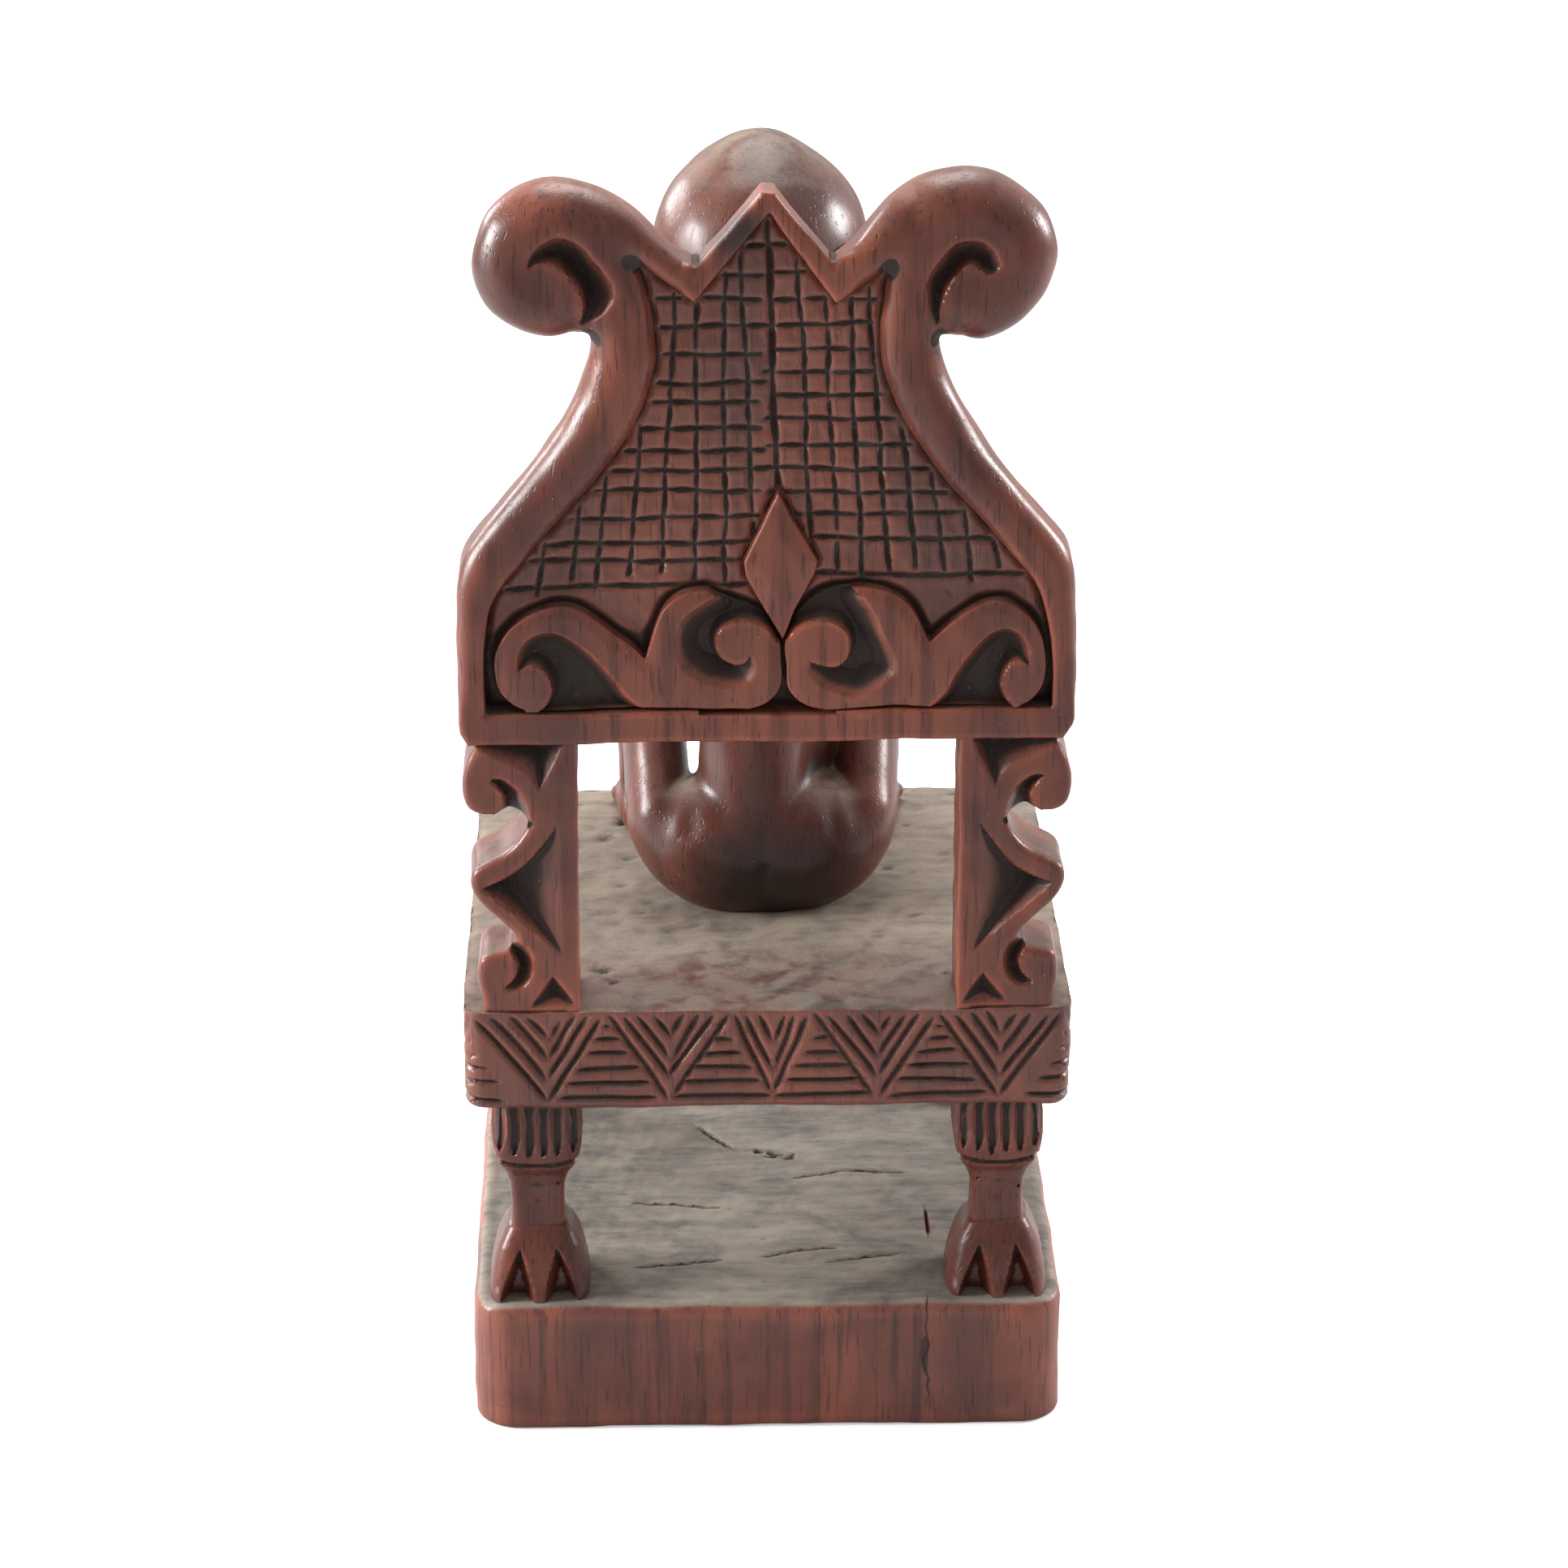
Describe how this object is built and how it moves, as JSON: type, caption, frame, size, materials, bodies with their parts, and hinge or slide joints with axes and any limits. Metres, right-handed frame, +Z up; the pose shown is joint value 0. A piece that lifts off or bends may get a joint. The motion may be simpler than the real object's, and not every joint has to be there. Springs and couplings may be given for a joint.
{
  "type": "carved throne figure",
  "caption": "Carved hardwood squatting figure on a high-backed throne with scrolled ears, hatched back panel, pawed legs and plinth.",
  "frame": {"origin": "centre of the plinth's underside, on the surface it stands on", "axes": "+Z up; the figure looks along -Y and the backrest stands at +Y; +X is the figure's left side"},
  "size_m": [0.1, 0.097, 0.2166],
  "materials": {
    "plinth_wood": "hand-rubbed satin, dull dusty top",
    "seat_wood": "satin edges, dusty top",
    "carved_wood": "hand-rubbed satin",
    "ground_wood": "dull, with dirt in the cuts",
    "figure_wood": "hand-rubbed satin, darker"
  },
  "bodies": {
    "root": {"plinth": "plinth_wood", "front_left_leg": "carved_wood", "front_right_leg": "carved_wood", "rear_left_leg": "carved_wood", "rear_right_leg": "carved_wood", "front_left_paw": "carved_wood", "front_right_paw": "carved_wood", "rear_left_paw": "carved_wood", "rear_right_paw": "carved_wood", "seat_slab": "seat_wood", "left_post": "carved_wood", "right_post": "carved_wood", "back_rail": "carved_wood", "hatched_board": "ground_wood", "crown": "carved_wood", "left_ear_rim": "carved_wood", "right_ear_rim": "carved_wood", "outer_scroll_left": "carved_wood", "inner_scroll_left": "carved_wood", "inner_scroll_right": "carved_wood", "outer_scroll_right": "carved_wood", "diamond": "carved_wood", "hips": "figure_wood", "torso": "figure_wood", "neck": "figure_wood", "head": "figure_wood", "left_thigh": "figure_wood", "right_thigh": "figure_wood", "left_shin": "figure_wood", "right_shin": "figure_wood", "left_foot": "figure_wood", "right_foot": "figure_wood", "left_upper_arm": "figure_wood", "right_upper_arm": "figure_wood", "left_forearm": "figure_wood", "right_forearm": "figure_wood"}
  },
  "joints": []
}
